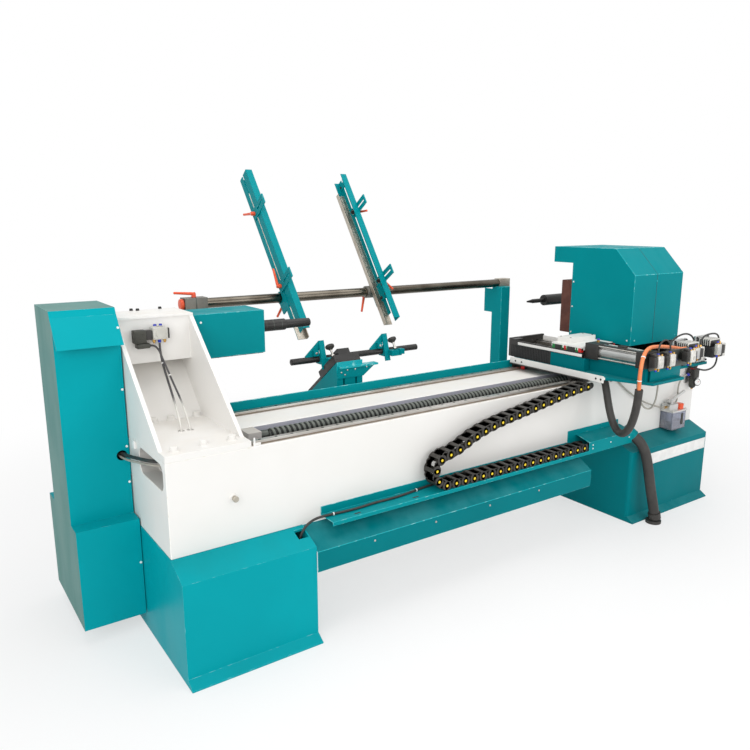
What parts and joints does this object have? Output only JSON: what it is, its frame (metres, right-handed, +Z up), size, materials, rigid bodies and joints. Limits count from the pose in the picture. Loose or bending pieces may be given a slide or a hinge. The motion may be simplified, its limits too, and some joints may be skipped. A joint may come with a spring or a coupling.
{
  "type": "cnc wood lathe",
  "caption": "Floor-standing wood turning lathe with a hollow bed, belt-driven spindle, travelling carriage with cross slide and hooded sanding unit, tailstock and a tilted feed magazine.",
  "frame": {"origin": "on the floor below the middle of the machine without its loose hoses and cables", "axes": "+X along the bed from headstock to tailstock, +Y from the operator's side to the back, +Z up"},
  "size_m": [3.116, 1.5568, 1.6544],
  "materials": {
    "white_paint": "semi-gloss",
    "teal_paint": "gloss",
    "bright_steel": "ground",
    "black_steel": "blackened",
    "grey_casting": "machined",
    "white_steel": "satin",
    "tool_steel": "ground",
    "clear_aluminium": "anodised",
    "motor_paint": "satin",
    "valve_plastic": "satin",
    "chain_plastic": "satin",
    "conduit_rubber": "ribbed",
    "orange_plastic": "moulded",
    "tank_plastic": "clear",
    "lever_steel": "plated",
    "brown_pad": "abrasive cloth"
  },
  "bodies": {
    "root": {"bed_beam": "white_paint", "bed_rails": "bright_steel", "rear_strip": "teal_paint", "left_pedestal": "teal_paint", "right_pedestal": "teal_paint", "chip_panel": "teal_paint", "chain_tray": "teal_paint", "tray_cover": "teal_paint", "screw_supports": "grey_casting", "headstock_frame": "white_paint", "spindle_box": "teal_paint", "tower_cover": "teal_paint", "main_motor": "motor_paint", "drive_belt": "conduit_rubber", "head_valve": "valve_plastic", "bar_clamp": "grey_casting", "support_bar": "bright_steel", "support_post": "teal_paint", "loader_bracket": "teal_paint", "tailstock_shelf": "teal_paint", "air_unit": "valve_plastic", "oil_pump": "tank_plastic", "drag_chain": "chain_plastic", "floor_conduit": "conduit_rubber", "conduit_end": "conduit_rubber", "head_tubes": "conduit_rubber", "bed_lines": "conduit_rubber"},
    "spindle": {"spindle_shaft": "bright_steel", "spindle_nose": "black_steel"},
    "motor_rotor": {"motor_pulley": "bright_steel"},
    "screw": {"ball_screw": "bright_steel"},
    "carriage": {"saddle": "teal_paint", "bed_blocks": "black_steel", "cross_base": "white_steel", "air_cylinder": "clear_aluminium", "valve_bank": "clear_aluminium", "feed_motors": "motor_paint", "carriage_hoses": "conduit_rubber"},
    "tool_carrier": {"tool_slide": "tool_steel"},
    "sander": {"hood": "teal_paint", "sander_frame": "black_steel", "sanding_pad": "brown_pad"},
    "tail_body": {"tailstock": "teal_paint"},
    "quill": {"tail_quill": "black_steel"},
    "centre": {"tail_centre": "black_steel"},
    "loader": {"loader_slide": "teal_paint", "loader_bar": "black_steel"},
    "bar_handle": {"bar_lever": "orange_plastic"},
    "pump_handle": {"pump_lever": "lever_steel"},
    "knob": {"regulator_knob": "chain_plastic"},
    "left_collar": {"left_arm_collar": "grey_casting"},
    "left_arm_frame": {"left_arm": "teal_paint"},
    "left_hub_handle": {"left_hub_lever": "orange_plastic"},
    "left_upper_stop": {"left_upper_flight": "teal_paint"},
    "left_lower_stop": {"left_lower_flight": "teal_paint"},
    "right_collar": {"right_arm_collar": "grey_casting"},
    "right_arm_frame": {"right_arm": "teal_paint"},
    "right_hub_handle": {"right_hub_lever": "orange_plastic"},
    "right_upper_stop": {"right_upper_flight": "teal_paint"},
    "right_lower_stop": {"right_lower_flight": "teal_paint"}
  },
  "joints": [
    {"name": "spindle_spin", "type": "hinge", "parent": "root", "child": "spindle", "pos_m": [-1.047, 0.1532, 1.004], "axis": [1, 0, 0], "continuous": true},
    {"name": "motor_spin", "type": "hinge", "parent": "root", "child": "motor_rotor", "pos_m": [-1.347, 0.1532, 0.215], "axis": [1, 0, 0], "continuous": true},
    {"name": "carriage_slide", "type": "slide", "parent": "root", "child": "carriage", "axis": [1, 0, 0], "range_m": [-1.15, 0.1], "deforming": ["drag_chain"]},
    {"name": "screw_spin", "type": "hinge", "parent": "root", "child": "screw", "pos_m": [-0.347, -0.2664, 0.687], "axis": [1, 0, 0], "continuous": true},
    {"name": "cross_feed", "type": "slide", "parent": "carriage", "child": "tool_carrier", "axis": [0, 1, 0], "range_m": [0, 0.2]},
    {"name": "sander_feed", "type": "slide", "parent": "carriage", "child": "sander", "axis": [0, 1, 0], "range_m": [0, 0.12]},
    {"name": "tailstock_slide", "type": "slide", "parent": "root", "child": "tail_body", "axis": [1, 0, 0], "range_m": [-0.12, 0.08]},
    {"name": "quill_slide", "type": "slide", "parent": "tail_body", "child": "quill", "axis": [1, 0, 0], "range_m": [-0.1, 0.04]},
    {"name": "centre_spin", "type": "hinge", "parent": "quill", "child": "centre", "pos_m": [0.917, 0.1532, 1.004], "axis": [1, 0, 0], "continuous": true},
    {"name": "loader_lift", "type": "slide", "parent": "root", "child": "loader", "axis": [0, -0.8028, 0.5962], "range_m": [-0.12, 0.06]},
    {"name": "bar_lever_turn", "type": "hinge", "parent": "root", "child": "bar_handle", "pos_m": [-0.921, 0.4076, 1.12], "axis": [0, 0, 1], "range_deg": [-45, 45]},
    {"name": "pump_stroke", "type": "hinge", "parent": "root", "child": "pump_handle", "pos_m": [1.205, -0.4544, 0.53], "axis": [0, -1, 0], "range_deg": [0, 35]},
    {"name": "knob_turn", "type": "hinge", "parent": "root", "child": "knob", "pos_m": [1.398, -0.4474, 0.7], "axis": [0, 0, 1], "range_deg": [-160, 160]},
    {"name": "left_arm_shift", "type": "slide", "parent": "root", "child": "left_collar", "axis": [1, 0, 0], "range_m": [-0.12, 0.2]},
    {"name": "left_arm_tilt", "type": "hinge", "parent": "left_collar", "child": "left_arm_frame", "pos_m": [-0.524, 0.4076, 1.082], "axis": [1, 0, 0], "range_deg": [0, 12]},
    {"name": "left_hub_lever_turn", "type": "hinge", "parent": "left_collar", "child": "left_hub_handle", "pos_m": [-0.482, 0.4076, 1.082], "axis": [0, -0.7912, 0.6115], "range_deg": [-50, 50]},
    {"name": "left_upper_stop_shift", "type": "slide", "parent": "left_arm_frame", "child": "left_upper_stop", "axis": [0, 0.6115, 0.7912], "range_m": [-0.15, 0.12]},
    {"name": "left_lower_stop_shift", "type": "slide", "parent": "left_arm_frame", "child": "left_lower_stop", "axis": [0, 0.6115, 0.7912], "range_m": [0, 0.2]},
    {"name": "right_arm_shift", "type": "slide", "parent": "root", "child": "right_collar", "axis": [1, 0, 0], "range_m": [-0.2, 0.3]},
    {"name": "right_arm_tilt", "type": "hinge", "parent": "right_collar", "child": "right_arm_frame", "pos_m": [-0.002, 0.4076, 1.082], "axis": [1, 0, 0], "range_deg": [0, 12]},
    {"name": "right_hub_lever_turn", "type": "hinge", "parent": "right_collar", "child": "right_hub_handle", "pos_m": [-0.044, 0.4076, 1.082], "axis": [0, -0.8211, 0.5707], "range_deg": [-50, 50]},
    {"name": "right_upper_stop_shift", "type": "slide", "parent": "right_arm_frame", "child": "right_upper_stop", "axis": [0, 0.5707, 0.8211], "range_m": [-0.15, 0.12]},
    {"name": "right_lower_stop_shift", "type": "slide", "parent": "right_arm_frame", "child": "right_lower_stop", "axis": [0, 0.5707, 0.8211], "range_m": [0, 0.2]}
  ],
  "couplings": [
    {"joint": "motor_spin", "follows": "spindle_spin", "ratio": 1},
    {"joint": "screw_spin", "follows": "carriage_slide", "rad_per_m": -314.16}
  ]
}
